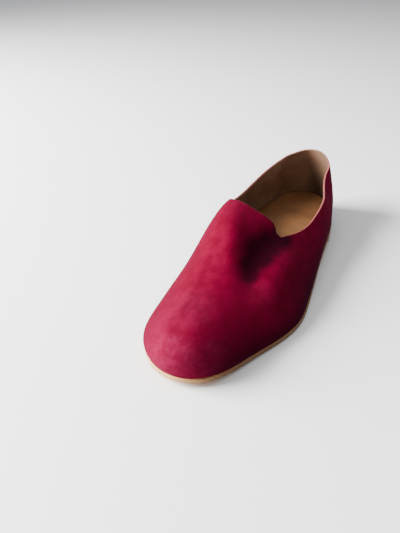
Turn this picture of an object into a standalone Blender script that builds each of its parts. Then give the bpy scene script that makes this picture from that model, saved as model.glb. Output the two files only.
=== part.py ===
"""One left shoe: a round-toed suede slip-on with a high vamp, a notch at each side and a raised back.

The shoe lies along X with its toe at +X and its outer side at +Y, and stands on the ground at Z = 0.
Upper, insole and sole all take their form from one last. The last is a height over its feather line,
the line where the upper meets the sole, and its sections follow the driving sizes below.
Lengths are in metres.
"""

import math

import bmesh
import bpy
import numpy as np

MM = 0.001

# Driving sizes
LENGTH = 252 * MM
BALL_WIDTH = 95 * MM
INSTEP_HEIGHT = 51 * MM
HEEL_LIFT = 9.5 * MM
TOE_SPRING = 4 * MM
UPPER_WALL = 1.6 * MM
INSOLE_THICKNESS = 3 * MM
INSOLE_MARGIN = 0.9 * MM
SOLE_THICKNESS = 3.2 * MM
SOLE_MARGIN = 0.8 * MM
SOLE_EDGE_ROUND = 0.6 * MM
CLEARANCE = 0.3 * MM

# Places along the shoe, as shares of LENGTH
HEEL_BREAST_SHARE = 0.225
ARCH_END_SHARE = 0.60
SPRING_START_SHARE = 0.72
TOE_ROUND_SHARE = 0.80
HEEL_ROUND_SHARE = 0.10
BACK_ANCHOR_SHARE = 0.13

# How full the last's ends are: 2 is an ellipse, more is squarer
TOE_FULLNESS = 2.6
HEEL_FULLNESS = 3.3

# Where the side swells most, as a share of the last's height there
SWELL_PEAK_SHARE = 0.24

# How softly its two sides meet along the ridge, as a share of their widths
RIDGE_ROUND_SHARE = 0.12

# Sections of the last, heel to toe. Along is a share of LENGTH. Centre, half width and the two swells are
# shares of BALL_WIDTH, ridge is a share of the half width there, and height is a share of INSTEP_HEIGHT.
SECTION_COLUMNS = (
    "along", "centre", "half_width", "ridge", "height",
    "outer_squareness", "inner_squareness", "outer_swell", "inner_swell",
)
SECTIONS = (
    (0.00, -0.010, 0.512, 0.00, 1.27, 1.85, 2.05, 0.000, 0.000),
    (0.06, -0.005, 0.496, 0.00, 1.28, 1.55, 1.98, 0.010, 0.002),
    (0.12, 0.001, 0.448, -0.22, 1.25, 1.25, 1.88, 0.028, 0.008),
    (0.20, 0.008, 0.419, -0.38, 1.17, 1.18, 1.82, 0.036, 0.022),
    (0.30, 0.004, 0.409, -0.52, 1.02, 1.30, 1.83, 0.034, 0.032),
    (0.42, -0.005, 0.420, -0.60, 0.94, 1.32, 1.88, 0.046, 0.040),
    (0.50, -0.002, 0.440, -0.62, 0.98, 1.28, 1.83, 0.043, 0.036),
    (0.58, 0.003, 0.467, -0.56, 0.92, 1.27, 1.68, 0.034, 0.028),
    (0.66, 0.008, 0.497, -0.46, 0.76, 1.33, 1.56, 0.020, 0.020),
    (0.75, -0.018, 0.511, -0.32, 0.61, 1.50, 1.52, 0.010, 0.017),
    (0.84, -0.049, 0.507, -0.22, 0.53, 1.72, 1.54, 0.007, 0.025),
    (0.92, -0.060, 0.540, -0.13, 0.52, 1.87, 1.69, 0.008, 0.028),
    (1.00, -0.058, 0.600, 0.00, 0.52, 1.92, 1.79, 0.006, 0.018),
)

# The collar from the middle of the back to the notch at each side. Along is a share of LENGTH at the feather
# line below, and rise is a share of the last's height there.
COLLAR_COLUMNS = ("along", "rise")
OUTER_COLLAR = (
    (0.00, 0.680),
    (0.05, 0.590),
    (0.12, 0.535),
    (0.22, 0.400),
    (0.34, 0.458),
    (0.44, 0.550),
    (0.502, 0.640),
)
INNER_COLLAR = (
    (0.00, 0.680),
    (0.05, 0.644),
    (0.12, 0.650),
    (0.22, 0.662),
    (0.34, 0.665),
    (0.40, 0.720),
    (0.448, 0.803),
)

# The throat edge between the two notches. Across runs from 0 at the outer notch to 1 at the inner one, along
# is a share of LENGTH, and rise is a share of the last's height there, reached on the side named.
THROAT_COLUMNS = ("across", "along", "rise", "side")
THROAT = (
    (0.035, 0.506, 0.656, "outer"),
    (0.08, 0.505, 0.688, "outer"),
    (0.17, 0.482, 0.768, "outer"),
    (0.45, 0.490, 0.948, "outer"),
    (0.70, 0.490, 1.000, "ridge"),
    (0.86, 0.488, 0.988, "inner"),
    (0.93, 0.476, 0.940, "inner"),
)

# How fine the solids are
TURN_STEPS = 112
WALL_ROWS = 13
PATH_STEPS = 400
PATH_POWER = 2.5
ROW_POWER = 1.35


def column(table, names, name):
    """One named column of a table."""
    place = names.index(name)
    return [row[place] for row in table]


def smooth_curve(places, values):
    """A natural cubic spline through the values."""
    places = np.array(places, float)
    values = np.array(values, float)
    count = len(places)
    steps = np.diff(places)
    matrix = np.eye(count)
    target = np.zeros(count)
    for row in range(1, count - 1):
        before, after = steps[row - 1], steps[row]
        matrix[row, row - 1:row + 2] = before, 2 * (before + after), after
        target[row] = 6 * ((values[row + 1] - values[row]) / after - (values[row] - values[row - 1]) / before)
    bends = np.linalg.solve(matrix, target)

    def read(at):
        at = np.asarray(at, float)
        span = np.clip(np.searchsorted(places, at) - 1, 0, count - 2)
        step = steps[span]
        left = (places[span + 1] - at) / step
        right = 1 - left
        curve = (left ** 3 - left) * bends[span] + (right ** 3 - right) * bends[span + 1]
        return left * values[span] + right * values[span + 1] + curve * step ** 2 / 6

    return read


def steady_curve(places, values):
    """A cubic curve through the values that turns only where they turn."""
    places = np.array(places, float)
    values = np.array(values, float)
    steps = np.diff(places)
    rises = np.diff(values) / steps
    slopes = np.concatenate(([rises[0]], np.zeros(len(rises) - 1), [rises[-1]]))
    for row in range(1, len(rises)):
        if rises[row - 1] * rises[row] > 0:
            near = 2 * steps[row] + steps[row - 1]
            far = steps[row] + 2 * steps[row - 1]
            slopes[row] = (near + far) / (near / rises[row - 1] + far / rises[row])

    def read(at):
        at = np.clip(np.asarray(at, float), places[0], places[-1])
        span = np.clip(np.searchsorted(places, at) - 1, 0, len(steps) - 1)
        step = steps[span]
        part = (at - places[span]) / step
        value = values[span] * (1 + 2 * part) * (1 - part) ** 2
        value = value + values[span + 1] * part ** 2 * (3 - 2 * part)
        value = value + slopes[span] * step * part * (1 - part) ** 2
        return value - slopes[span + 1] * step * part ** 2 * (1 - part)

    return read


LAST = {
    name: smooth_curve(column(SECTIONS, SECTION_COLUMNS, "along"), column(SECTIONS, SECTION_COLUMNS, name))
    for name in SECTION_COLUMNS[1:]
}


def along_at(x):
    """Share of the length at x."""
    return np.clip(np.asarray(x, float) / LENGTH, 0, 1)


def turn_at(along):
    """Turn around the feather line, on its outer half, at a share of the length."""
    return math.acos(1 - 2 * along)


def feather_point(turn):
    """Point of the feather line in plan. The turn starts at the back and passes the outer side first."""
    along = (1 - np.cos(turn)) / 2
    across = BALL_WIDTH * (LAST["centre"](along) + LAST["half_width"](along) * np.sin(turn))
    return LENGTH * along, across


def feather_normal(turn):
    """Outward direction of the feather line in plan."""
    reach = 0.001
    ahead_x, ahead_y = feather_point(turn + reach)
    behind_x, behind_y = feather_point(turn - reach)
    size = np.hypot(ahead_x - behind_x, ahead_y - behind_y)
    return -(ahead_y - behind_y) / size, (ahead_x - behind_x) / size


def ridge_and_widths(along):
    """The ridge's place across, and the last's width from there to its outer and inner feather line."""
    half = BALL_WIDTH * LAST["half_width"](along) * 2 * np.sqrt(along * (1 - along))
    lean = LAST["ridge"](along)
    return BALL_WIDTH * LAST["centre"](along) + lean * half, half * (1 - lean), half * (1 + lean)


def seat_height(x):
    """Height of the sole's top: heel lift, arch, flat tread and toe spring."""
    along = along_at(x)
    fall = np.clip((along - HEEL_BREAST_SHARE) / (ARCH_END_SHARE - HEEL_BREAST_SHARE), 0, 1)
    fall = fall * fall * (3 - 2 * fall)
    tip = np.clip((along - SPRING_START_SHARE) / (1 - SPRING_START_SHARE), 0, 1)
    return HEEL_LIFT * (1 - fall) + TOE_SPRING * tip ** 2 + SOLE_THICKNESS


def superellipse(part, power):
    """Height of a superellipse, 1 at its middle and 0 where the part is 1."""
    return np.clip(1 - np.clip(part, 0, 1) ** power, 0, 1) ** (1 / power)


def rounded_aside(aside):
    """A share of a side's width measured from the ridge, eased so that the two sides meet softly."""
    soft = RIDGE_ROUND_SHARE
    return (np.hypot(aside, soft) - soft) / (math.hypot(1, soft) - soft)


def plain_aside(rounded):
    """The share of a side's width that has this eased value."""
    soft = RIDGE_ROUND_SHARE
    return math.sqrt((rounded * (math.hypot(1, soft) - soft) + soft) ** 2 - soft ** 2)


def last_height(x, y):
    """Height of the last over its seat."""
    along = along_at(x)
    ridge, outer_width, inner_width = ridge_and_widths(along)
    outer = y > ridge
    width = np.where(outer, outer_width, inner_width)
    squareness = np.where(outer, LAST["outer_squareness"](along), LAST["inner_squareness"](along))
    aside = rounded_aside(np.abs(y - ridge) / np.maximum(width, 1e-9))
    toe = superellipse((along - TOE_ROUND_SHARE) / (1 - TOE_ROUND_SHARE), TOE_FULLNESS)
    heel = superellipse((HEEL_ROUND_SHARE - along) / HEEL_ROUND_SHARE, HEEL_FULLNESS)
    return INSTEP_HEIGHT * LAST["height"](along) * toe * heel * superellipse(aside, squareness)


def last_swell(x, height, turn):
    """How far the side stands out past the feather line at a height over the seat."""
    along = along_at(x)
    top = INSTEP_HEIGHT * LAST["height"](along)
    outer_share = 0.5 + 0.5 * np.clip(3 * np.sin(turn), -1, 1)
    most = LAST["outer_swell"](along) * outer_share + LAST["inner_swell"](along) * (1 - outer_share)
    below = np.clip(height / (SWELL_PEAK_SHARE * top), 0, 1)
    above = np.clip((height - SWELL_PEAK_SHARE * top) / (top - SWELL_PEAK_SHARE * top), 0, 1)
    return BALL_WIDTH * most * np.sin(math.pi / 2 * below) * np.cos(math.pi / 2 * above) ** 1.5


def across_at_rise(along, rise, side):
    """Place across where the last has a share of its height, on one side of its ridge."""
    ridge, outer_width, inner_width = ridge_and_widths(along)
    if side == "ridge":
        return float(ridge)
    aside = plain_aside(float(superellipse(rise, LAST[side + "_squareness"](along))))
    return float(ridge + aside * outer_width if side == "outer" else ridge - aside * inner_width)


def throat_curve():
    """Plan curve of the throat edge, from the outer notch over the ridge to the inner notch."""
    rows = [(0.0, *OUTER_COLLAR[-1], "outer"), *THROAT, (1.0, *INNER_COLLAR[-1], "inner")]
    across = column(rows, THROAT_COLUMNS, "across")
    x = [LENGTH * along for along in column(rows, THROAT_COLUMNS, "along")]
    y = [across_at_rise(along, rise, side) for _, along, rise, side in rows]
    return steady_curve(across, x), steady_curve(across, y)


def wall_column(turn, rows):
    """Points up the last's surface, from the feather line to the opening's edge."""
    outer_notch = turn_at(OUTER_COLLAR[-1][0])
    inner_notch = 2 * math.pi - turn_at(INNER_COLLAR[-1][0])
    foot_x, foot_y = feather_point(turn)
    normal_x, normal_y = feather_normal(turn)
    under_vamp = outer_notch <= turn <= inner_notch
    if under_vamp:
        across = (turn - outer_notch) / (inner_notch - outer_notch)
        aim_x, aim_y = (float(curve(across)) for curve in throat_curve())
    else:
        aim_x = max(foot_x, BACK_ANCHOR_SHARE * LENGTH)
        aim_y = float(ridge_and_widths(aim_x / LENGTH)[0])
    part = np.linspace(0, 1, PATH_STEPS) ** PATH_POWER
    x = foot_x + (aim_x - foot_x) * part
    y = foot_y + (aim_y - foot_y) * part
    height = last_height(x, y)
    swell = last_swell(x, height, turn)
    z = height + seat_height(x) + CLEARANCE
    points = np.stack((x + normal_x * swell, y + normal_y * swell, z), axis=1)
    if not under_vamp:
        collar = OUTER_COLLAR if turn < math.pi else INNER_COLLAR
        rise = steady_curve(column(collar, COLLAR_COLUMNS, "along"), column(collar, COLLAR_COLUMNS, "rise"))
        along = foot_x / LENGTH
        edge = float(rise(along)) * INSTEP_HEIGHT * float(LAST["height"](along))
        points = cut_at_height(points, edge + float(seat_height(foot_x)) + CLEARANCE)
    return spaced_upward(points, rows)


def cut_at_height(points, top):
    """The path up to where it first reaches a height."""
    last = max(int(np.argmax(points[:, 2] >= top)), 1)
    low, high = points[last - 1], points[last]
    end = low + (high - low) * (top - low[2]) / (high[2] - low[2])
    return np.vstack((points[:last], end))


def spaced_upward(points, count):
    """The same path with fewer points, set closer towards the sole."""
    lengths = np.linalg.norm(np.diff(points, axis=0), axis=1)
    places = np.concatenate(([0], np.cumsum(lengths)))
    wanted = places[-1] * np.linspace(0, 1, count) ** ROW_POWER
    return np.stack([np.interp(wanted, places, points[:, axis]) for axis in range(3)], axis=1)


def even_turns(count):
    """Turns around the feather line, evenly spaced."""
    return np.arange(count) * 2 * math.pi / count


def outer_wall(turns, rows):
    """Grid of points on the upper's outside, one column of points for each turn."""
    return np.array([wall_column(turn, rows) for turn in turns])


def inner_wall(outside):
    """The same grid on the upper's inside, one wall thickness in. Its lowest row keeps to the seat."""
    around = np.roll(outside, -1, axis=0) - np.roll(outside, 1, axis=0)
    up = np.gradient(outside, axis=1)
    normal = np.cross(around, up)
    normal[:, 0, 2] = 0
    normal /= np.linalg.norm(normal, axis=2, keepdims=True)
    inside = outside + normal * UPPER_WALL
    inside[:, 0, 2] = seat_height(inside[:, 0, 0]) + CLEARANCE
    return inside


def feather_loop(turns, outward):
    """Plan loop beside the feather line, a distance outward from it."""
    x, y = feather_point(turns)
    normal_x, normal_y = feather_normal(turns)
    return np.stack((x + outward * normal_x, y + outward * normal_y), axis=1)


def lifted(loop, height):
    """A plan loop at the height that a function of x gives."""
    return np.column_stack((loop, np.broadcast_to(height(loop[:, 0]), len(loop))))


def add_ring(mesh, points):
    """Vertices of one closed ring."""
    return [mesh.verts.new(point) for point in points]


def bridge(mesh, lower, upper):
    """Faces between two rings with the same count of vertices."""
    for here in range(len(lower)):
        after = (here + 1) % len(lower)
        mesh.faces.new((lower[here], lower[after], upper[after], upper[here]))


def cap(mesh, ring):
    """Faces across a ring whose points pair from side to side, counted both ways from its first point."""
    count = len(ring)
    for here in range(count // 2):
        corners = (ring[here], ring[here + 1], ring[count - here - 1], ring[(count - here) % count])
        mesh.faces.new(dict.fromkeys(corners))


def add_object(mesh, name, material):
    """Finish a solid: faces outward, smooth where it is round, with its own material."""
    bmesh.ops.recalc_face_normals(mesh, faces=mesh.faces)
    data = bpy.data.meshes.new(name)
    mesh.to_mesh(data)
    mesh.free()
    data.shade_smooth()
    data.set_sharp_from_angle(angle=math.radians(40))
    data.materials.append(material)
    solid = bpy.data.objects.new(name, data)
    bpy.context.collection.objects.link(solid)
    return solid


def add_material(name, colour, roughness):
    """A plain material with a base colour and roughness."""
    material = bpy.data.materials.new(name)
    material.use_nodes = True
    shader = material.node_tree.nodes["Principled BSDF"]
    shader.inputs["Base Color"].default_value = (*colour, 1)
    shader.inputs["Roughness"].default_value = roughness
    shader.inputs["Metallic"].default_value = 0
    return material


def make_upper():
    """The hollow suede upper, open at the collar and underneath."""
    outside = outer_wall(even_turns(TURN_STEPS), WALL_ROWS)
    inside = inner_wall(outside)
    mesh = bmesh.new()
    outer_rings = [add_ring(mesh, outside[:, row]) for row in range(WALL_ROWS)]
    inner_rings = [add_ring(mesh, inside[:, row]) for row in range(WALL_ROWS)]
    rings = outer_rings + inner_rings[::-1]
    for lower, upper in zip(rings, rings[1:] + rings[:1]):
        bridge(mesh, lower, upper)
    return add_object(mesh, "upper", add_material("crimson suede", (0.55, 0.02, 0.13), 0.9))


def make_plate(name, outline, underside, topside, material):
    """A plate that follows the seat, with its edge rounded."""
    mesh = bmesh.new()
    inset = outline - plate_edge_inset(outline)
    rings = [
        add_ring(mesh, lifted(inset, underside)),
        add_ring(mesh, lifted(outline, lambda x: underside(x) + SOLE_EDGE_ROUND)),
        add_ring(mesh, lifted(outline, lambda x: topside(x) - SOLE_EDGE_ROUND)),
        add_ring(mesh, lifted(inset, topside)),
    ]
    for lower, upper in zip(rings, rings[1:]):
        bridge(mesh, lower, upper)
    cap(mesh, rings[0])
    cap(mesh, rings[-1])
    return add_object(mesh, name, material)


def plate_edge_inset(outline):
    """Steps from a plan loop to the loop one edge rounding inside it."""
    ahead = np.roll(outline, -1, axis=0) - np.roll(outline, 1, axis=0)
    outward = np.stack((-ahead[:, 1], ahead[:, 0]), axis=1)
    return SOLE_EDGE_ROUND * outward / np.linalg.norm(outward, axis=1, keepdims=True)


def sole_bottom(x):
    """Height of the outsole's underside."""
    return seat_height(x) - SOLE_THICKNESS


def make_outsole():
    """The leather outsole, a margin wider than the upper all round."""
    outline = feather_loop(even_turns(TURN_STEPS), SOLE_MARGIN)
    material = add_material("sole leather", (0.60, 0.36, 0.20), 0.6)
    return make_plate("outsole", outline, sole_bottom, seat_height, material)


def make_insole():
    """The leather insole, inside the upper's wall."""
    outline = feather_loop(even_turns(TURN_STEPS), -(UPPER_WALL + INSOLE_MARGIN))

    def underside(x):
        return seat_height(x) + CLEARANCE

    def topside(x):
        return underside(x) + INSOLE_THICKNESS

    material = add_material("insole leather", (0.66, 0.44, 0.30), 0.65)
    return make_plate("insole", outline, underside, topside, material)


def make_heel():
    """The low leather heel lift, with the sole's outline and a straight breast."""
    half = TURN_STEPS // 4
    to_breast = turn_at(HEEL_BREAST_SHARE)
    turns = np.concatenate((np.linspace(0, to_breast, half + 1), np.linspace(-to_breast, 0, half + 1)[:-1]))
    outline = feather_loop(turns, SOLE_MARGIN)
    outline[:, 0] = np.minimum(outline[:, 0], HEEL_BREAST_SHARE * LENGTH)

    def underside(x):
        return np.zeros_like(x)

    def topside(x):
        return sole_bottom(x) - CLEARANCE

    material = add_material("heel leather", (0.42, 0.24, 0.13), 0.6)
    return make_plate("heel", outline, underside, topside, material)


def clear_scene():
    """Remove what the scene holds."""
    for thing in list(bpy.data.objects):
        bpy.data.objects.remove(thing)


def centre_on_origin(solids):
    """Move the solids so that the middle of their plan box is at the origin and the ground is at Z = 0."""
    corners = np.array([solid.matrix_world @ vertex.co for solid in solids for vertex in solid.data.vertices])
    middle = (corners.min(axis=0) + corners.max(axis=0)) / 2
    for solid in solids:
        solid.location = (-middle[0], -middle[1], 0)


def main():
    clear_scene()
    centre_on_origin([make_upper(), make_outsole(), make_insole(), make_heel()])


main()
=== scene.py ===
"""Looks of one left shoe in crimson suede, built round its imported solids.

The upper's outside and its lining are built again from the same last as the solids, with finer steps and
with the soft creases of worn suede. The shoe lies along X with its toe at +X and its outer side at +Y.
Lengths are in metres.
"""

import math

import bpy
import numpy as np
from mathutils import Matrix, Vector


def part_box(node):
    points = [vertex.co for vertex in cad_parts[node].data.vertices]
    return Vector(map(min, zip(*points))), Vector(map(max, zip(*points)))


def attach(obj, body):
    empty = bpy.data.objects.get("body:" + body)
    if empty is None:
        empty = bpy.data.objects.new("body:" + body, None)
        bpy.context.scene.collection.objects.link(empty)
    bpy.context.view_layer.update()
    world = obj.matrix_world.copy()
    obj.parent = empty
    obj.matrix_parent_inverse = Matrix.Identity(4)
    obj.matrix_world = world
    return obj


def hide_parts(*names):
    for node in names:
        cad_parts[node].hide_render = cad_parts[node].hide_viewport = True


MM = 0.001

# Driving sizes of the last, the upper and the sole
LENGTH = 252 * MM
BALL_WIDTH = 95 * MM
INSTEP_HEIGHT = 51 * MM
HEEL_LIFT = 9.5 * MM
TOE_SPRING = 4 * MM
UPPER_WALL = 1.6 * MM
INSOLE_THICKNESS = 3 * MM
INSOLE_MARGIN = 0.9 * MM
SOLE_THICKNESS = 3.2 * MM
SOLE_MARGIN = 0.8 * MM
CLEARANCE = 0.3 * MM

# Places along the shoe, as shares of LENGTH
HEEL_BREAST_SHARE = 0.225
ARCH_END_SHARE = 0.60
SPRING_START_SHARE = 0.72
TOE_ROUND_SHARE = 0.80
HEEL_ROUND_SHARE = 0.10
BACK_ANCHOR_SHARE = 0.13

# How full the last's ends are, and where its side swells most as a share of its height
TOE_FULLNESS = 2.6
HEEL_FULLNESS = 3.3
SWELL_PEAK_SHARE = 0.24

# How softly its two sides meet along the ridge, as a share of their widths
RIDGE_ROUND_SHARE = 0.12

# Sections of the last, heel to toe. Along is a share of LENGTH. Centre, half width and the two swells are
# shares of BALL_WIDTH, ridge is a share of the half width there, and height is a share of INSTEP_HEIGHT.
SECTION_COLUMNS = (
    "along", "centre", "half_width", "ridge", "height",
    "outer_squareness", "inner_squareness", "outer_swell", "inner_swell",
)
SECTIONS = (
    (0.00, -0.010, 0.512, 0.00, 1.27, 1.85, 2.05, 0.000, 0.000),
    (0.06, -0.005, 0.496, 0.00, 1.28, 1.55, 1.98, 0.010, 0.002),
    (0.12, 0.001, 0.448, -0.22, 1.25, 1.25, 1.88, 0.028, 0.008),
    (0.20, 0.008, 0.419, -0.38, 1.17, 1.18, 1.82, 0.036, 0.022),
    (0.30, 0.004, 0.409, -0.52, 1.02, 1.30, 1.83, 0.034, 0.032),
    (0.42, -0.005, 0.420, -0.60, 0.94, 1.32, 1.88, 0.046, 0.040),
    (0.50, -0.002, 0.440, -0.62, 0.98, 1.28, 1.83, 0.043, 0.036),
    (0.58, 0.003, 0.467, -0.56, 0.92, 1.27, 1.68, 0.034, 0.028),
    (0.66, 0.008, 0.497, -0.46, 0.76, 1.33, 1.56, 0.020, 0.020),
    (0.75, -0.018, 0.511, -0.32, 0.61, 1.50, 1.52, 0.010, 0.017),
    (0.84, -0.049, 0.507, -0.22, 0.53, 1.72, 1.54, 0.007, 0.025),
    (0.92, -0.060, 0.540, -0.13, 0.52, 1.87, 1.69, 0.008, 0.028),
    (1.00, -0.058, 0.600, 0.00, 0.52, 1.92, 1.79, 0.006, 0.018),
)

# The collar from the middle of the back to the notch at each side. Along is a share of LENGTH at the feather
# line below, and rise is a share of the last's height there.
COLLAR_COLUMNS = ("along", "rise")
OUTER_COLLAR = (
    (0.00, 0.680),
    (0.05, 0.590),
    (0.12, 0.535),
    (0.22, 0.400),
    (0.34, 0.458),
    (0.44, 0.550),
    (0.502, 0.640),
)
INNER_COLLAR = (
    (0.00, 0.680),
    (0.05, 0.644),
    (0.12, 0.650),
    (0.22, 0.662),
    (0.34, 0.665),
    (0.40, 0.720),
    (0.448, 0.803),
)

# The throat edge between the two notches. Across runs from 0 at the outer notch to 1 at the inner one, along
# is a share of LENGTH, and rise is a share of the last's height there, reached on the side named.
THROAT_COLUMNS = ("across", "along", "rise", "side")
THROAT = (
    (0.035, 0.506, 0.656, "outer"),
    (0.08, 0.505, 0.688, "outer"),
    (0.17, 0.482, 0.768, "outer"),
    (0.45, 0.490, 0.948, "outer"),
    (0.70, 0.490, 1.000, "ridge"),
    (0.86, 0.488, 0.988, "inner"),
    (0.93, 0.476, 0.940, "inner"),
)

# Soft creases of the worn suede. Each runs from its start past its middle to its end. Along is a share of
# LENGTH and across a share of BALL_WIDTH. Width and depth follow as lengths, and a depth below 0 is a ridge.
CREASES = (
    ((0.50, 0.16), (0.60, 0.07), (0.72, 0.14), 10 * MM, 3.6 * MM),
    ((0.50, 0.31), (0.61, 0.27), (0.72, 0.26), 11 * MM, -1.8 * MM),
    ((0.53, -0.20), (0.62, -0.13), (0.72, 0.00), 9 * MM, -2.0 * MM),
    ((0.66, -0.34), (0.68, -0.20), (0.68, -0.08), 6 * MM, 0.35 * MM),
    ((0.76, -0.28), (0.78, -0.02), (0.77, 0.22), 6 * MM, 0.30 * MM),
    ((0.88, -0.20), (0.90, 0.00), (0.87, 0.22), 9 * MM, -0.30 * MM),
)

# Soft patches on the suede. The rubbed ones are pale wear with a painted sheen at the toe tip, and the dark
# ones are painted shade in the trough. Along is a share of LENGTH, across is a share of
# BALL_WIDTH, reach is how far the patch runs along each axis, and strength is 1 at most.
# Rubbed pale at the toe and ball: real wear, with a painted sheen at the toe tip.
RUBBED_NAP_AND_PAINTED_SHEEN = (
    (0.95, -0.24, (24 * MM, 18 * MM, 18 * MM), 0.7),
    (0.99, -0.05, (20 * MM, 30 * MM, 18 * MM), 1.0),
    (0.95, 0.14, (20 * MM, 18 * MM, 14 * MM), 0.7),
    (0.88, -0.10, (26 * MM, 24 * MM, 18 * MM), 0.45),
    (0.72, 0.22, (16 * MM, 12 * MM, 12 * MM), 0.3),
)
# Painted shade in the trough before the outer notch, where the vamp's ridge shades the side.
PAINTED_TROUGH_SHADE = (
    (0.51, 0.14, (18 * MM, 13 * MM, 24 * MM), 1.0),
    (0.56, 0.10, (20 * MM, 14 * MM, 28 * MM), 1.0),
    (0.60, 0.06, (19 * MM, 13 * MM, 28 * MM), 1.0),
    (0.61, 0.11, (18 * MM, 11 * MM, 24 * MM), 1.0),
    (0.65, 0.07, (18 * MM, 11 * MM, 24 * MM), 1.0),
    (0.68, 0.10, (14 * MM, 8 * MM, 20 * MM), 0.9),
)

# How fine the meshes are
COLLAR_STEPS = 110
VAMP_STEPS = 240
WALL_ROWS = 72
INSOLE_ROWS = 24
PATH_STEPS = 900
PATH_POWER = 2.5
CREASE_STEPS = 90
ROW_POWER = 1.15
INSOLE_ROW_POWER = 1.5

# How many columns on each side a direction is averaged with
EASE_COLUMNS = 4

# Turns at which the outsole's solid has its corners
SOLE_TURN_STEPS = 112

# A crease's strength along its length: how much of its fade is used, where that starts, and its power
CREASE_FADE_SPAN = 0.9
CREASE_FADE_START = 0.05
CREASE_FADE_POWER = 0.7

# Raw edge of the upper: how far its corners are rounded, and in how many steps
EDGE_ROUND = 0.45 * MM
EDGE_ROUND_STEPS = 4

# The insole's top: where its middle line starts and ends along the shoe, how low its edge lies, and how far
# in that reaches as a share of the way to the middle line
INSOLE_MIDDLE_START_SHARE = 0.14
INSOLE_MIDDLE_END_SHARE = 0.84
INSOLE_EDGE_DROP = 0.6 * MM
INSOLE_EDGE_SHARE = 0.12

# Places of the materials on the upper
SUEDE, LINING, RAW_EDGE = 0, 1, 2

# How far the floor runs from the middle, and the sides of its corners in turn
FLOOR_REACH = 4.0
FLOOR_CORNERS = ((-1, -1), (1, -1), (1, 1), (-1, 1))

# Camera, in the same frame as the solids
CAMERA_PLACE = (0.2692, 0.0918, 0.2039)
CAMERA_LOOK = (-0.7192, -0.3876, -0.5767)
CAMERA_LENS = 40.34
CAMERA_SENSOR = 36.0


def column(table, names, name):
    """One named column of a table."""
    place = names.index(name)
    return [row[place] for row in table]


def smooth_curve(places, values):
    """A natural cubic spline through the values."""
    places = np.array(places, float)
    values = np.array(values, float)
    count = len(places)
    steps = np.diff(places)
    matrix = np.eye(count)
    target = np.zeros(count)
    for row in range(1, count - 1):
        before, after = steps[row - 1], steps[row]
        matrix[row, row - 1:row + 2] = before, 2 * (before + after), after
        target[row] = 6 * ((values[row + 1] - values[row]) / after - (values[row] - values[row - 1]) / before)
    bends = np.linalg.solve(matrix, target)

    def read(at):
        at = np.asarray(at, float)
        span = np.clip(np.searchsorted(places, at) - 1, 0, count - 2)
        step = steps[span]
        left = (places[span + 1] - at) / step
        right = 1 - left
        curve = (left ** 3 - left) * bends[span] + (right ** 3 - right) * bends[span + 1]
        return left * values[span] + right * values[span + 1] + curve * step ** 2 / 6

    return read


def steady_curve(places, values):
    """A cubic curve through the values that turns only where they turn."""
    places = np.array(places, float)
    values = np.array(values, float)
    steps = np.diff(places)
    rises = np.diff(values) / steps
    slopes = np.concatenate(([rises[0]], np.zeros(len(rises) - 1), [rises[-1]]))
    for row in range(1, len(rises)):
        if rises[row - 1] * rises[row] > 0:
            near = 2 * steps[row] + steps[row - 1]
            far = steps[row] + 2 * steps[row - 1]
            slopes[row] = (near + far) / (near / rises[row - 1] + far / rises[row])

    def read(at):
        at = np.clip(np.asarray(at, float), places[0], places[-1])
        span = np.clip(np.searchsorted(places, at) - 1, 0, len(steps) - 1)
        step = steps[span]
        part = (at - places[span]) / step
        value = values[span] * (1 + 2 * part) * (1 - part) ** 2
        value = value + values[span + 1] * part ** 2 * (3 - 2 * part)
        value = value + slopes[span] * step * part * (1 - part) ** 2
        return value - slopes[span + 1] * step * part ** 2 * (1 - part)

    return read


LAST = {
    name: smooth_curve(column(SECTIONS, SECTION_COLUMNS, "along"), column(SECTIONS, SECTION_COLUMNS, name))
    for name in SECTION_COLUMNS[1:]
}


def along_at(x):
    """Share of the length at x."""
    return np.clip(np.asarray(x, float) / LENGTH, 0, 1)


def turn_at(along):
    """Turn around the feather line, on its outer half, at a share of the length."""
    return math.acos(1 - 2 * along)


def feather_point(turn):
    """Point of the feather line in plan. The turn starts at the back and passes the outer side first."""
    along = (1 - np.cos(turn)) / 2
    across = BALL_WIDTH * (LAST["centre"](along) + LAST["half_width"](along) * np.sin(turn))
    return LENGTH * along, across


def feather_normal(turn):
    """Outward direction of the feather line in plan."""
    reach = 0.001
    ahead_x, ahead_y = feather_point(turn + reach)
    behind_x, behind_y = feather_point(turn - reach)
    size = np.hypot(ahead_x - behind_x, ahead_y - behind_y)
    return -(ahead_y - behind_y) / size, (ahead_x - behind_x) / size


def ridge_and_widths(along):
    """The ridge's place across, and the last's width from there to its outer and inner feather line."""
    half = BALL_WIDTH * LAST["half_width"](along) * 2 * np.sqrt(along * (1 - along))
    lean = LAST["ridge"](along)
    return BALL_WIDTH * LAST["centre"](along) + lean * half, half * (1 - lean), half * (1 + lean)


def seat_height(x):
    """Height of the sole's top: heel lift, arch, flat tread and toe spring."""
    along = along_at(x)
    fall = np.clip((along - HEEL_BREAST_SHARE) / (ARCH_END_SHARE - HEEL_BREAST_SHARE), 0, 1)
    fall = fall * fall * (3 - 2 * fall)
    tip = np.clip((along - SPRING_START_SHARE) / (1 - SPRING_START_SHARE), 0, 1)
    return HEEL_LIFT * (1 - fall) + TOE_SPRING * tip ** 2 + SOLE_THICKNESS


def superellipse(part, power):
    """Height of a superellipse, 1 at its middle and 0 where the part is 1."""
    return np.clip(1 - np.clip(part, 0, 1) ** power, 0, 1) ** (1 / power)


def rounded_aside(aside):
    """A share of a side's width measured from the ridge, eased so that the two sides meet softly."""
    soft = RIDGE_ROUND_SHARE
    return (np.hypot(aside, soft) - soft) / (math.hypot(1, soft) - soft)


def plain_aside(rounded):
    """The share of a side's width that has this eased value."""
    soft = RIDGE_ROUND_SHARE
    return math.sqrt((rounded * (math.hypot(1, soft) - soft) + soft) ** 2 - soft ** 2)


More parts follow.
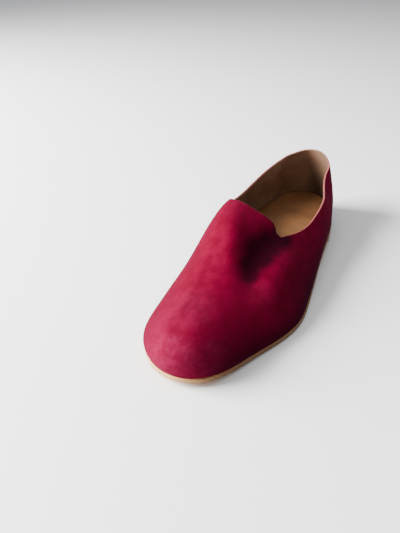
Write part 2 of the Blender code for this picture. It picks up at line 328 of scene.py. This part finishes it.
def last_height(x, y):
    """Height of the last over its seat."""
    along = along_at(x)
    ridge, outer_width, inner_width = ridge_and_widths(along)
    outer = y > ridge
    width = np.where(outer, outer_width, inner_width)
    squareness = np.where(outer, LAST["outer_squareness"](along), LAST["inner_squareness"](along))
    aside = rounded_aside(np.abs(y - ridge) / np.maximum(width, 1e-9))
    toe = superellipse((along - TOE_ROUND_SHARE) / (1 - TOE_ROUND_SHARE), TOE_FULLNESS)
    heel = superellipse((HEEL_ROUND_SHARE - along) / HEEL_ROUND_SHARE, HEEL_FULLNESS)
    return INSTEP_HEIGHT * LAST["height"](along) * toe * heel * superellipse(aside, squareness)


def last_swell(x, height, turn):
    """How far the side stands out past the feather line at a height over the seat."""
    along = along_at(x)
    top = INSTEP_HEIGHT * LAST["height"](along)
    outer_share = 0.5 + 0.5 * np.clip(3 * np.sin(turn), -1, 1)
    most = LAST["outer_swell"](along) * outer_share + LAST["inner_swell"](along) * (1 - outer_share)
    below = np.clip(height / (SWELL_PEAK_SHARE * top), 0, 1)
    above = np.clip((height - SWELL_PEAK_SHARE * top) / (top - SWELL_PEAK_SHARE * top), 0, 1)
    return BALL_WIDTH * most * np.sin(math.pi / 2 * below) * np.cos(math.pi / 2 * above) ** 1.5


def across_at_rise(along, rise, side):
    """Place across where the last has a share of its height, on one side of its ridge."""
    ridge, outer_width, inner_width = ridge_and_widths(along)
    if side == "ridge":
        return float(ridge)
    aside = plain_aside(float(superellipse(rise, LAST[side + "_squareness"](along))))
    return float(ridge + aside * outer_width if side == "outer" else ridge - aside * inner_width)


def throat_curve():
    """Plan curve of the throat edge, from the outer notch over the ridge to the inner notch."""
    rows = [(0.0, *OUTER_COLLAR[-1], "outer"), *THROAT, (1.0, *INNER_COLLAR[-1], "inner")]
    across = column(rows, THROAT_COLUMNS, "across")
    x = [LENGTH * along for along in column(rows, THROAT_COLUMNS, "along")]
    y = [across_at_rise(along, rise, side) for _, along, rise, side in rows]
    return steady_curve(across, x), steady_curve(across, y)


OUTER_NOTCH = turn_at(OUTER_COLLAR[-1][0])
INNER_NOTCH = 2 * math.pi - turn_at(INNER_COLLAR[-1][0])
THROAT_X, THROAT_Y = throat_curve()


def wall_column(turn):
    """Points up the last's surface, from the feather line to the opening's edge."""
    foot_x, foot_y = feather_point(turn)
    normal_x, normal_y = feather_normal(turn)
    under_vamp = OUTER_NOTCH <= turn <= INNER_NOTCH
    if under_vamp:
        across = (turn - OUTER_NOTCH) / (INNER_NOTCH - OUTER_NOTCH)
        aim_x, aim_y = float(THROAT_X(across)), float(THROAT_Y(across))
    else:
        aim_x = max(foot_x, BACK_ANCHOR_SHARE * LENGTH)
        aim_y = float(ridge_and_widths(aim_x / LENGTH)[0])
    part = np.linspace(0, 1, PATH_STEPS) ** PATH_POWER
    x = foot_x + (aim_x - foot_x) * part
    y = foot_y + (aim_y - foot_y) * part
    height = last_height(x, y)
    swell = last_swell(x, height, turn)
    z = height + seat_height(x) + CLEARANCE
    points = np.stack((x + normal_x * swell, y + normal_y * swell, z), axis=1)
    if not under_vamp:
        collar = OUTER_COLLAR if turn < math.pi else INNER_COLLAR
        rise = steady_curve(column(collar, COLLAR_COLUMNS, "along"), column(collar, COLLAR_COLUMNS, "rise"))
        along = foot_x / LENGTH
        edge = float(rise(along)) * INSTEP_HEIGHT * float(LAST["height"](along))
        points = cut_at_height(points, edge + float(seat_height(foot_x)) + CLEARANCE)
    return spaced_upward(points, WALL_ROWS)


def cut_at_height(points, top):
    """The path up to where it first reaches a height."""
    last = max(int(np.argmax(points[:, 2] >= top)), 1)
    low, high = points[last - 1], points[last]
    end = low + (high - low) * (top - low[2]) / (high[2] - low[2])
    return np.vstack((points[:last], end))


def spaced_upward(points, count):
    """The same path with fewer points, set closer towards the sole."""
    lengths = np.linalg.norm(np.diff(points, axis=0), axis=1)
    places = np.concatenate(([0], np.cumsum(lengths)))
    wanted = places[-1] * np.linspace(0, 1, count) ** ROW_POWER
    return np.stack([np.interp(wanted, places, points[:, axis]) for axis in range(3)], axis=1)


def shell_turns():
    """Turns around the feather line with a column exactly at each notch."""
    outer = np.linspace(0, OUTER_NOTCH, COLLAR_STEPS, endpoint=False)
    vamp = np.linspace(OUTER_NOTCH, INNER_NOTCH, VAMP_STEPS, endpoint=False)
    inner = np.linspace(INNER_NOTCH, 2 * math.pi, COLLAR_STEPS, endpoint=False)
    return np.concatenate((outer, vamp, inner))


def inward_normals(grid):
    """Inward direction at each point of a grid of columns that closes on itself."""
    around = np.roll(grid, -1, axis=0) - np.roll(grid, 1, axis=0)
    up = np.gradient(grid, axis=1)
    normal = np.cross(around, up)
    normal[:, 0, 2] = 0
    return normal / np.linalg.norm(normal, axis=2, keepdims=True)


def eased_directions(steps):
    """Directions round a ring of columns, each averaged with its neighbours."""
    total = sum(np.roll(steps, shift, axis=0) for shift in range(-EASE_COLUMNS, EASE_COLUMNS + 1))
    return total / np.linalg.norm(total, axis=-1, keepdims=True)


def point_on_upper(along, across):
    """Point of the upper's outside over a place given as shares of the length and the ball width."""
    x, y = along * LENGTH, across * BALL_WIDTH
    return np.array((x, y, float(last_height(x, y) + seat_height(x)) + CLEARANCE))


def crease_path(start, middle, end):
    """Points along a crease on the last's surface."""
    part = np.linspace(0, 1, CREASE_STEPS)[:, None]
    start, middle, end = (np.array(place) * (LENGTH, BALL_WIDTH) for place in (start, middle, end))
    bend = 2 * middle - (start + end) / 2
    plan = start * (1 - part) ** 2 + bend * 2 * part * (1 - part) + end * part ** 2
    height = last_height(plan[:, 0], plan[:, 1]) + seat_height(plan[:, 0]) + CLEARANCE
    return np.column_stack((plan, height)), part[:, 0]


def crease_depths(grid):
    """How deep all the creases together press in at each point of the upper."""
    depths = np.zeros(grid.shape[:2])
    for start, middle, end, width, depth in CREASES:
        path, part = crease_path(start, middle, end)
        away = np.linalg.norm(grid[:, :, None, :] - path, axis=3)
        nearest = np.argmin(away, axis=2)
        distance = np.min(away, axis=2)
        fade_part = CREASE_FADE_START + CREASE_FADE_SPAN * part[nearest]
        fade = np.sin(math.pi * fade_part) ** CREASE_FADE_POWER
        depths += depth * fade * np.exp(-(distance / width) ** 2)
    return depths


def shell_grids():
    """Grids of points on the outside and the inside of the upper."""
    outside = np.array([wall_column(turn) for turn in shell_turns()])
    depths = crease_depths(outside)
    outside = outside + inward_normals(outside) * depths[:, :, None]
    inside = outside + eased_directions(inward_normals(outside)) * UPPER_WALL
    inside[:, 0, 2] = seat_height(inside[:, 0, 0]) + CLEARANCE
    return outside, inside


def frame_shift():
    """Step from the shoe's own place to where its solids stand."""
    low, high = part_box("outsole")
    turns = np.arange(SOLE_TURN_STEPS) * 2 * math.pi / SOLE_TURN_STEPS
    x, y = feather_point(turns)
    normal_x, normal_y = feather_normal(turns)
    middle_x = (np.min(x + SOLE_MARGIN * normal_x) + np.max(x + SOLE_MARGIN * normal_x)) / 2
    middle_y = (np.min(y + SOLE_MARGIN * normal_y) + np.max(y + SOLE_MARGIN * normal_y)) / 2
    return np.array(((low.x + high.x) / 2 - middle_x, (low.y + high.y) / 2 - middle_y, 0))


def rim_rings(outside, inside):
    """Rings over the upper's raw top edge, from its outer corner to its inner one."""
    outer, inner = outside[:, -1], inside[:, -1]
    across = eased_directions(inner - outer)
    climb = eased_directions(outside[:, -1] - outside[:, -3])
    rings = []
    turns = np.linspace(0, math.pi / 2, EDGE_ROUND_STEPS)
    for turn in turns[1:]:
        rings.append(outer + EDGE_ROUND * ((1 - math.cos(turn)) * across + math.sin(turn) * climb))
    for turn in turns[:0:-1]:
        rings.append(inner - EDGE_ROUND * ((1 - math.cos(turn)) * across - math.sin(turn) * climb))
    return rings


def mesh_from_rings(name, rings, ring_materials, closed):
    """A mesh whose faces join each ring to the next, with a material index for each band."""
    count = len(rings[0])
    points = np.concatenate(rings)
    last_band = len(rings) if closed else len(rings) - 1
    faces = []
    indices = []
    for band in range(last_band):
        low = band * count
        high = (band + 1) % len(rings) * count
        for here in range(count):
            after = (here + 1) % count
            faces.append((low + here, low + after, high + after, high + here))
            indices.append(ring_materials[band])
    mesh = bpy.data.meshes.new(name)
    mesh.from_pydata(points.tolist(), [], faces)
    mesh.polygons.foreach_set("material_index", indices)
    mesh.shade_smooth()
    mesh.update()
    return mesh


def add_piece(name, mesh, materials):
    """An object of the scene with its materials."""
    for material in materials:
        mesh.materials.append(material)
    piece = bpy.data.objects.new(name, mesh)
    bpy.context.scene.collection.objects.link(piece)
    return piece


def make_shell(shift):
    """The upper: suede outside, leather lining inside, raw edge round the opening."""
    outside, inside = shell_grids()
    rim = rim_rings(outside, inside)
    outer_rings = [outside[:, row] for row in range(WALL_ROWS)]
    inner_rings = [inside[:, row] for row in range(WALL_ROWS)][::-1]
    rings = [ring + shift for ring in outer_rings + rim + inner_rings]
    bands = [SUEDE] * (len(outer_rings) - 1) + [RAW_EDGE] * EDGE_ROUND_STEPS
    bands += [LINING] * (len(rings) - 1 - len(bands)) + [SUEDE]
    mesh = mesh_from_rings("upper_suede", rings, bands, closed=True)
    materials = [suede_material(shift), lining_material(), edge_material()]
    piece = add_piece("upper_suede", mesh, materials)
    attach(piece, "root")
    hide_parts("upper")
    return piece


class Shader:
    """Short ways to build one node material."""

    def __init__(self, name):
        self.material = bpy.data.materials.new(name)
        self.material.use_nodes = True
        self.tree = self.material.node_tree
        self.shader = self.tree.nodes["Principled BSDF"]
        coordinates = self.add("ShaderNodeTexCoord")
        self.place = coordinates.outputs["Object"]
        self.normal = coordinates.outputs["Normal"]

    def add(self, kind, **settings):
        """A node with its settings."""
        node = self.tree.nodes.new(kind)
        for name, value in settings.items():
            setattr(node, name, value)
        return node

    def feed(self, value, socket):
        """A constant or another node's output into a socket."""
        if isinstance(value, bpy.types.NodeSocket):
            self.tree.links.new(value, socket)
        elif isinstance(value, tuple) and len(value) == 3 and socket.type == "RGBA":
            socket.default_value = (*value, 1)
        else:
            socket.default_value = value

    def stretched(self, scale, turn=(0, 0, 0)):
        """The place on the shoe, turned and then scaled along its axes."""
        node = self.add("ShaderNodeMapping")
        self.feed(self.place, node.inputs["Vector"])
        self.feed(tuple(turn), node.inputs["Rotation"])
        self.feed(tuple(scale), node.inputs["Scale"])
        return node.outputs["Vector"]

    def noise(self, size, detail=3.0, roughness=0.55, distortion=0.0, place=None):
        """Noise whose blobs are about this size, from 0 to 1."""
        node = self.add("ShaderNodeTexNoise")
        self.feed(place if place is not None else self.place, node.inputs["Vector"])
        self.feed(1 / size, node.inputs["Scale"])
        self.feed(detail, node.inputs["Detail"])
        self.feed(roughness, node.inputs["Roughness"])
        self.feed(distortion, node.inputs["Distortion"])
        return node.outputs["Fac"]

    def cells(self, size, place=None):
        """Distance to the nearest of many scattered points."""
        node = self.add("ShaderNodeTexVoronoi")
        self.feed(place if place is not None else self.place, node.inputs["Vector"])
        self.feed(1 / size, node.inputs["Scale"])
        return node.outputs["Distance"]

    def ramp(self, value, low, high, start=0.0, end=1.0):
        """The value taken from one range to another, smoothly."""
        node = self.add("ShaderNodeMapRange", interpolation_type="SMOOTHSTEP")
        self.feed(value, node.inputs["Value"])
        for name, number in (("From Min", low), ("From Max", high), ("To Min", start), ("To Max", end)):
            self.feed(number, node.inputs[name])
        return node.outputs["Result"]

    def math(self, operation, first, second=0.0):
        """One sum of two values."""
        node = self.add("ShaderNodeMath", operation=operation)
        self.feed(first, node.inputs[0])
        self.feed(second, node.inputs[1])
        return node.outputs[0]

    def blend(self, share, first, second):
        """Two colours mixed by a share."""
        node = self.add("ShaderNodeMix", data_type="RGBA")
        self.feed(share, node.inputs["Factor"])
        self.feed(first, node.inputs["A"])
        self.feed(second, node.inputs["B"])
        return node.outputs["Result"]

    def vector_math(self, operation, first, second, output="Vector"):
        """One sum of two vectors."""
        node = self.add("ShaderNodeVectorMath", operation=operation)
        self.feed(first, node.inputs[0])
        self.feed(second, node.inputs[1])
        return node.outputs[output]

    def near(self, centre, reach):
        """1 at a place on the shoe, falling softly to 0 at its reach along each axis."""
        offset = self.vector_math("SUBTRACT", self.place, tuple(centre))
        share = self.vector_math("DIVIDE", offset, tuple(reach))
        node = self.add("ShaderNodeVectorMath", operation="LENGTH")
        self.feed(share, node.inputs[0])
        return self.ramp(node.outputs["Value"], 0.35, 1.0, 1.0, 0.0)

    def patches(self, rows, shift):
        """Soft patches on the upper together, each as strong as its row says."""
        total = 0.0
        for along, across, reach, strength in rows:
            patch = self.near(point_on_upper(along, across) + shift, reach)
            total = self.math("MAXIMUM", total, self.math("MULTIPLY", patch, strength))
        return total

    def facing(self, direction):
        """How far the surface faces one way, from -1 to 1."""
        return self.vector_math("DOT_PRODUCT", self.normal, tuple(Vector(direction).normalized()), "Value")

    def level(self):
        """Height over the ground."""
        node = self.add("ShaderNodeSeparateXYZ")
        self.feed(self.place, node.inputs[0])
        return node.outputs["Z"]

    def bump(self, height, distance, strength=1.0, below=None):
        """A bump from a height field, laid over another."""
        node = self.add("ShaderNodeBump")
        self.feed(strength, node.inputs["Strength"])
        self.feed(distance, node.inputs["Distance"])
        self.feed(height, node.inputs["Height"])
        if below is not None:
            self.feed(below, node.inputs["Normal"])
        return node.outputs["Normal"]

    def finish(self, colour, roughness, normal, **constants):
        """Set the surface: colour, roughness and bump, and plain numbers for the rest."""
        self.feed(colour, self.shader.inputs["Base Color"])
        self.feed(roughness, self.shader.inputs["Roughness"])
        self.feed(normal, self.shader.inputs["Normal"])
        for name, value in constants.items():
            self.feed(value, self.shader.inputs[name.replace("_", " ")])
        return self.material


def suede_material(shift):
    """Crimson suede: mottled nap, painted shade in the trough, low on the outer side and on the inner side
    that faces the window light, rubbed pale at the toe as wear with a painted sheen.
    """
    s = Shader("crimson_suede")
    mottle = s.noise(9 * MM, detail=4, roughness=0.6, distortion=0.4)
    clouds = s.noise(34 * MM, detail=2)
    flecks = s.noise(3.5 * MM, detail=3, roughness=0.6, place=s.stretched((0.5, 1, 1), (0, 0, 0.6)))
    specks = s.noise(1.6 * MM, detail=2)
    grain = s.noise(0.45 * MM, detail=2, roughness=0.7)
    colour = s.blend(s.ramp(mottle, 0.32, 0.70), (0.094, 0.0001, 0.010), (0.138, 0.0002, 0.017))
    colour = s.blend(s.ramp(clouds, 0.35, 0.7, 0.0, 0.5), colour, (0.095, 0.0001, 0.011))
    # Rubbed pale patches: real wear, with a painted sheen at the toe tip.
    rubbed_and_sheen = s.patches(RUBBED_NAP_AND_PAINTED_SHEEN, shift)
    pale_rub_and_sheen = s.math("MULTIPLY", rubbed_and_sheen, s.ramp(flecks, 0.35, 0.75, 0.4, 1.0))
    colour = s.blend(s.math("MULTIPLY", pale_rub_and_sheen, 0.24), colour, (0.34, 0.030, 0.105))
    dust = s.math("MULTIPLY", s.ramp(rubbed_and_sheen, 0.0, 0.5, 0.1, 0.7), s.ramp(specks, 0.66, 0.78))
    colour = s.blend(s.math("MULTIPLY", dust, 0.14), colour, (0.50, 0.12, 0.22))
    # Painted shade on the inner side, which faces the window light.
    inner_side_painted_shade = s.ramp(s.facing((0.0, -0.97, 0.15)), 0.35, 0.95, 0.0, 0.66)
    colour = s.blend(inner_side_painted_shade, colour, (0.055, 0.0001, 0.006))
    # Painted shade low on the outer side and in the trough, towards deep plum.
    outer_side = s.ramp(s.facing((-0.15, 0.97, -0.10)), 0.20, 0.95)
    low = s.ramp(s.level(), 8 * MM, 36 * MM, 1.0, 0.25)
    shade = s.math("MAXIMUM", s.math("MULTIPLY", outer_side, low), s.patches(PAINTED_TROUGH_SHADE, shift))
    colour = s.blend(s.math("MULTIPLY", shade, 0.97), colour, (0.010, 0.0001, 0.003))
    colour = s.blend(s.ramp(grain, 0.3, 0.7, 0.0, 0.22), colour, (0.05, 0.0002, 0.006))
    normal = s.bump(grain, 0.22 * MM, 0.45)
    normal = s.bump(flecks, 0.25 * MM, 0.3, normal)
    normal = s.bump(mottle, 0.5 * MM, 0.25, normal)
    return s.finish(
        colour, 1.0, normal,
        Specular_IOR_Level=0.02, Sheen_Weight=0.05, Sheen_Roughness=0.5, Sheen_Tint=(1.0, 0.2, 0.5),
    )


def lining_material():
    """Tan leather lining with fine pores, darkened with painted shade on the outer wall's inside, where it
    faces the window light.
    """
    s = Shader("tan_lining")
    clouds = s.noise(20 * MM, detail=3)
    pores = s.cells(0.9 * MM)
    colour = s.blend(s.ramp(clouds, 0.3, 0.7), (0.175, 0.086, 0.050), (0.245, 0.130, 0.078))
    colour = s.blend(s.ramp(pores, 0.0, 0.3, 0.3, 0.0), colour, (0.16, 0.07, 0.035))
    # Painted shade where the lining faces the window light.
    lining_painted_shade = s.ramp(s.facing((0.5, -0.85, 0.0)), 0.1, 0.9, 0.0, 0.8)
    colour = s.blend(lining_painted_shade, colour, (0.066, 0.037, 0.021))
    normal = s.bump(pores, 0.10 * MM, 0.4)
    return s.finish(colour, s.ramp(clouds, 0.3, 0.7, 0.55, 0.7), normal, Specular_IOR_Level=0.25)


def edge_material():
    """Raw cut edge of the suede, a paler salmon than its face."""
    s = Shader("raw_edge")
    fibres = s.noise(0.6 * MM, detail=3)
    colour = s.blend(s.ramp(fibres, 0.3, 0.7), (0.16, 0.030, 0.032), (0.24, 0.062, 0.055))
    return s.finish(colour, 0.9, s.bump(fibres, 0.2 * MM, 0.5), Specular_IOR_Level=0.2)


def insole_material():
    """Smooth tan leather of the insole, with soft clouds and fine pores."""
    s = Shader("tan_insole")
    clouds = s.noise(24 * MM, detail=3)
    pores = s.cells(0.8 * MM)
    colour = s.blend(s.ramp(clouds, 0.3, 0.7), (0.130, 0.054, 0.019), (0.188, 0.084, 0.030))
    colour = s.blend(s.ramp(pores, 0.0, 0.3, 0.25, 0.0), colour, (0.20, 0.08, 0.035))
    normal = s.bump(pores, 0.08 * MM, 0.4)
    return s.finish(colour, s.ramp(clouds, 0.3, 0.7, 0.42, 0.58), normal, Specular_IOR_Level=0.3)


def sole_material(name, pale, dark):
    """Sole leather: stacked fibres along the edge, darkened with painted shade on the outer side and left
    pale at the toe.
    """
    s = Shader(name)
    layers = s.noise(2.5 * MM, detail=3, place=s.stretched((0.15, 0.15, 2.5)))
    clouds = s.noise(18 * MM, detail=3)
    colour = s.blend(s.ramp(layers, 0.3, 0.7), dark, pale)
    colour = s.blend(s.ramp(clouds, 0.4, 0.8, 0.0, 0.3), colour, dark)
    # Painted shade on the outer side of the edge, under the upper's bulge.
    sole_painted_shade = s.ramp(s.facing((-0.25, 0.97, 0.0)), 0.0, 0.75, 0.0, 0.92)
    colour = s.blend(sole_painted_shade, colour, tuple(0.22 * part for part in dark))
    normal = s.bump(layers, 0.12 * MM, 0.5)
    return s.finish(colour, s.ramp(clouds, 0.3, 0.7, 0.5, 0.65), normal, Specular_IOR_Level=0.3)


def make_insole(shift):
    """The insole: a leather sock with a level top and a rounded edge."""
    turns = shell_turns()
    x, y = feather_point(turns)
    normal_x, normal_y = feather_normal(turns)
    inset = UPPER_WALL + INSOLE_MARGIN
    edge = np.stack((x - inset * normal_x, y - inset * normal_y), axis=1)
    middle_x = np.clip(edge[:, 0], INSOLE_MIDDLE_START_SHARE * LENGTH, INSOLE_MIDDLE_END_SHARE * LENGTH)
    middle = np.stack((middle_x, BALL_WIDTH * LAST["centre"](middle_x / LENGTH)), axis=1)
    rings = [np.column_stack((edge, seat_height(edge[:, 0]) + CLEARANCE))]
    for share in np.linspace(0, 1, INSOLE_ROWS) ** INSOLE_ROW_POWER:
        plan = edge + (middle - edge) * share
        drop = INSOLE_EDGE_DROP * (1 - min(share / INSOLE_EDGE_SHARE, 1)) ** 2
        height = seat_height(plan[:, 0]) + CLEARANCE + INSOLE_THICKNESS - drop
        rings.append(np.column_stack((plan, height)))
    rings = [ring + shift for ring in rings]
    mesh = mesh_from_rings("insole_sock", rings, [0] * (len(rings) - 1), closed=False)
    piece = add_piece("insole_sock", mesh, [insole_material()])
    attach(piece, "root")
    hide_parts("insole")
    return piece


def dress_sole():
    """Leather on the outsole and heel, whose solids stay."""
    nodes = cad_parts
    sole = sole_material("sole_leather_edge", (0.60, 0.33, 0.14), (0.42, 0.19, 0.07))
    heel = sole_material("heel_leather_edge", (0.36, 0.18, 0.08), (0.24, 0.11, 0.045))
    for node, material in ((nodes["outsole"], sole), (nodes["heel"], heel)):
        for slot in node.material_slots:
            slot.material = material


def make_floor():
    """A plain pale floor."""
    corners = [(FLOOR_REACH * side_x, FLOOR_REACH * side_y, 0) for side_x, side_y in FLOOR_CORNERS]
    mesh = bpy.data.meshes.new("floor")
    mesh.from_pydata(corners, [], [(0, 1, 2, 3)])
    s = Shader("pale_floor")
    clouds = s.noise(0.3, detail=2)
    colour = s.blend(s.ramp(clouds, 0.3, 0.7), (0.88, 0.88, 0.88), (0.90, 0.90, 0.90))
    floor = add_piece("floor", mesh, [s.finish(colour, 0.6, s.bump(clouds, 0.1 * MM, 0.1))])


def add_light(name, place, aim, size, power, colour):
    """A square soft light aimed at a place."""
    data = bpy.data.lights.new(name, "AREA")
    data.shape = "SQUARE"
    data.size = size
    data.energy = power
    data.color = colour
    light = bpy.data.objects.new(name, data)
    light.location = place
    light.rotation_euler = (Vector(aim) - Vector(place)).to_track_quat("-Z", "Y").to_euler()
    bpy.context.scene.collection.objects.link(light)


def make_lights():
    """Low window light from the left of the picture, a pale ceiling and a pale sky all round."""
    add_light("window", (0.48, -1.04, 0.58), (0, 0, 0), 0.75, 122, (1.0, 0.985, 0.97))
    add_light("ceiling", (0.0, -0.3, 1.9), (0, 0, 0), 1.6, 14, (1.0, 1.0, 1.0))
    world = bpy.data.worlds.new("studio")
    world.use_nodes = True
    world.node_tree.nodes["Background"].inputs["Color"].default_value = (0.93, 0.95, 1.0, 1)
    world.node_tree.nodes["Background"].inputs["Strength"].default_value = 0.45
    bpy.context.scene.world = world


def make_camera():
    """The photograph's viewing angle."""
    data = bpy.data.cameras.new("camera")
    data.sensor_fit = "HORIZONTAL"
    data.sensor_width = CAMERA_SENSOR
    data.lens = CAMERA_LENS
    data.clip_start = 0.01
    camera = bpy.data.objects.new("camera", data)
    camera.location = CAMERA_PLACE
    camera.rotation_euler = Vector(CAMERA_LOOK).to_track_quat("-Z", "Y").to_euler()
    bpy.context.scene.collection.objects.link(camera)
    bpy.context.scene.camera = camera


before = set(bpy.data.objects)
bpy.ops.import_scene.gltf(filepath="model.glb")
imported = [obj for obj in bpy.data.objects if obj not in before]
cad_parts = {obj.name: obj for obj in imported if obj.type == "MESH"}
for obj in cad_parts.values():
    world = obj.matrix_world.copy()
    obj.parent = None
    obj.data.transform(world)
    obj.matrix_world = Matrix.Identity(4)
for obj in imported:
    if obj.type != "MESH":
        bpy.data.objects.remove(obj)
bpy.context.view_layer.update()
shift = frame_shift()
make_shell(shift)
make_insole(shift)
dress_sole()
make_floor()
make_lights()
make_camera()
